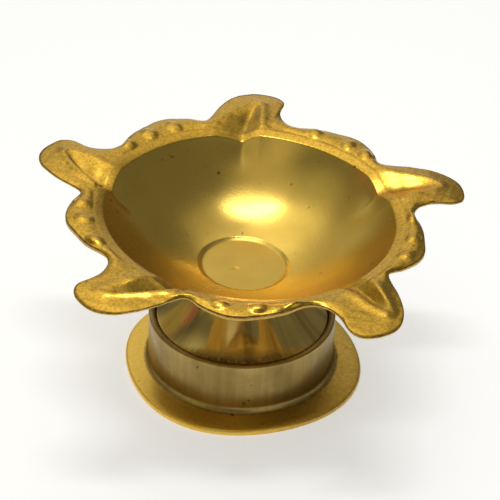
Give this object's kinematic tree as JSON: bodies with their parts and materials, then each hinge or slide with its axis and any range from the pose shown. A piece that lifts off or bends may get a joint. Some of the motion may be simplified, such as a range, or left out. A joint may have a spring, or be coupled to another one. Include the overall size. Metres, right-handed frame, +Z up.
{
  "type": "oil lamp",
  "caption": "Small brass oil lamp: open bowl with a scalloped rim and pressed wick spouts, on a trumpet stem and a flanged foot ring.",
  "frame": {"origin": "on the resting plane, at the centre of the foot ring's upright band", "axes": "+Z up, +Y towards the back spout, +X to the right seen from the front"},
  "size_m": [0.0773, 0.0749, 0.0362],
  "materials": {
    "bowl_brass": "bright pressed sheet, polished well and grainy rim",
    "stem_brass": "mirror polished, lathe turned",
    "foot_brass": "satin, fine brushed lines, the band darker than the flange",
    "solder_brass": "dull, darkened run solder"
  },
  "bodies": {
    "root": {"bowl": "bowl_brass", "stem": "stem_brass", "foot_ring": "foot_brass", "neck_solder": "solder_brass", "lip_solder": "solder_brass"}
  },
  "joints": []
}
